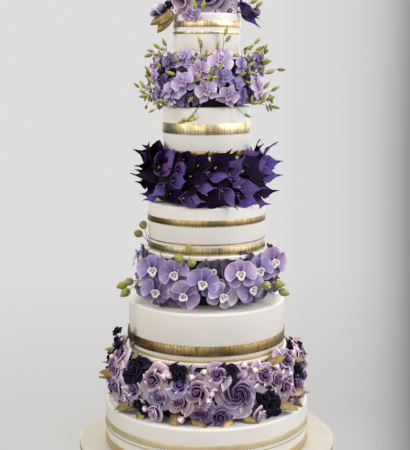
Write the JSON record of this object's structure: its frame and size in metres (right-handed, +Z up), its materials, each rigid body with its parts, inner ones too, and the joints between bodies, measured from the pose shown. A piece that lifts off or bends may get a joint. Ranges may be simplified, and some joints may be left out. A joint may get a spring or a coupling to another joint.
{
  "type": "tiered wedding cake",
  "caption": "Tall round tiered wedding cake on a base board, cream fondant with gold ribbons and garlands of purple sugar flowers between the tiers and on top.",
  "frame": {"origin": "centre of the base board's underside, where the cake stands", "axes": "+Z up the cake's axis, -Y towards the front, +X to the right seen from the front"},
  "size_m": [0.616, 0.616, 1.1068],
  "materials": {
    "fondant": "smooth rolled sugar fondant, satin, warm cream",
    "board_fondant": "rolled sugar fondant on the board, satin, deeper cream",
    "gold_leaf": "edible gold leaf on fondant ribbon, satin metal with fine upright creases",
    "separator_paste": "near-black purple sugar paste, matte",
    "rose_petal": "dusted gum paste petals, lilac, soft matte",
    "orchid_petal": "dusted gum paste petals, blue-mauve with pale edges, soft satin",
    "calla_petal": "dusted gum paste, deep violet to near black, soft satin",
    "leaf_paste": "gum paste leaves and buds with an olive gold lustre"
  },
  "bodies": {
    "root": {"base_board": "board_fondant", "board_ribbon": "gold_leaf", "tier_1": "fondant", "tier_2": "fondant", "tier_3": "fondant", "tier_4": "fondant", "tier_5": "fondant", "plate_2": "fondant", "plate_3": "fondant", "plate_4": "fondant", "plate_5": "fondant", "separator_1": "separator_paste", "separator_2": "separator_paste", "separator_3": "separator_paste", "separator_4": "separator_paste", "ribbon_1_upper": "gold_leaf", "ribbon_1_line": "gold_leaf", "ribbon_1_base": "gold_leaf", "ribbon_2_wide": "gold_leaf", "ribbon_2_base": "gold_leaf", "ribbon_3_upper": "gold_leaf", "ribbon_3_line": "gold_leaf", "ribbon_3_base": "gold_leaf", "ribbon_4_middle": "gold_leaf", "ribbon_4_base": "gold_leaf", "ribbon_5_upper": "gold_leaf", "ribbon_5_line": "gold_leaf", "ribbon_5_base": "gold_leaf", "rose_garland": "rose_petal", "garden_rose": "rose_petal", "calla_garland": "calla_petal", "orchid_spray_garland": "orchid_petal", "moth_orchid_01": "orchid_petal", "moth_orchid_02": "orchid_petal", "moth_orchid_03": "orchid_petal", "moth_orchid_04": "orchid_petal", "moth_orchid_05": "orchid_petal", "moth_orchid_06": "orchid_petal", "moth_orchid_07": "orchid_petal", "moth_orchid_08": "orchid_petal", "moth_orchid_09": "orchid_petal", "moth_orchid_10": "orchid_petal", "moth_orchid_11": "orchid_petal", "moth_orchid_12": "orchid_petal", "moth_orchid_13": "orchid_petal", "moth_orchid_14": "orchid_petal", "moth_orchid_15": "orchid_petal", "moth_orchid_16": "orchid_petal", "moth_orchid_17": "orchid_petal", "moth_orchid_18": "orchid_petal", "moth_orchid_19": "orchid_petal", "moth_orchid_20": "orchid_petal", "moth_orchid_21": "orchid_petal", "topper_rose": "rose_petal", "topper_back_rose": "rose_petal", "topper_side_rose": "rose_petal", "topper_orchid": "orchid_petal", "topper_rosebud": "rose_petal", "topper_leaf": "leaf_paste", "topper_dark_flower": "calla_petal"}
  },
  "joints": []
}
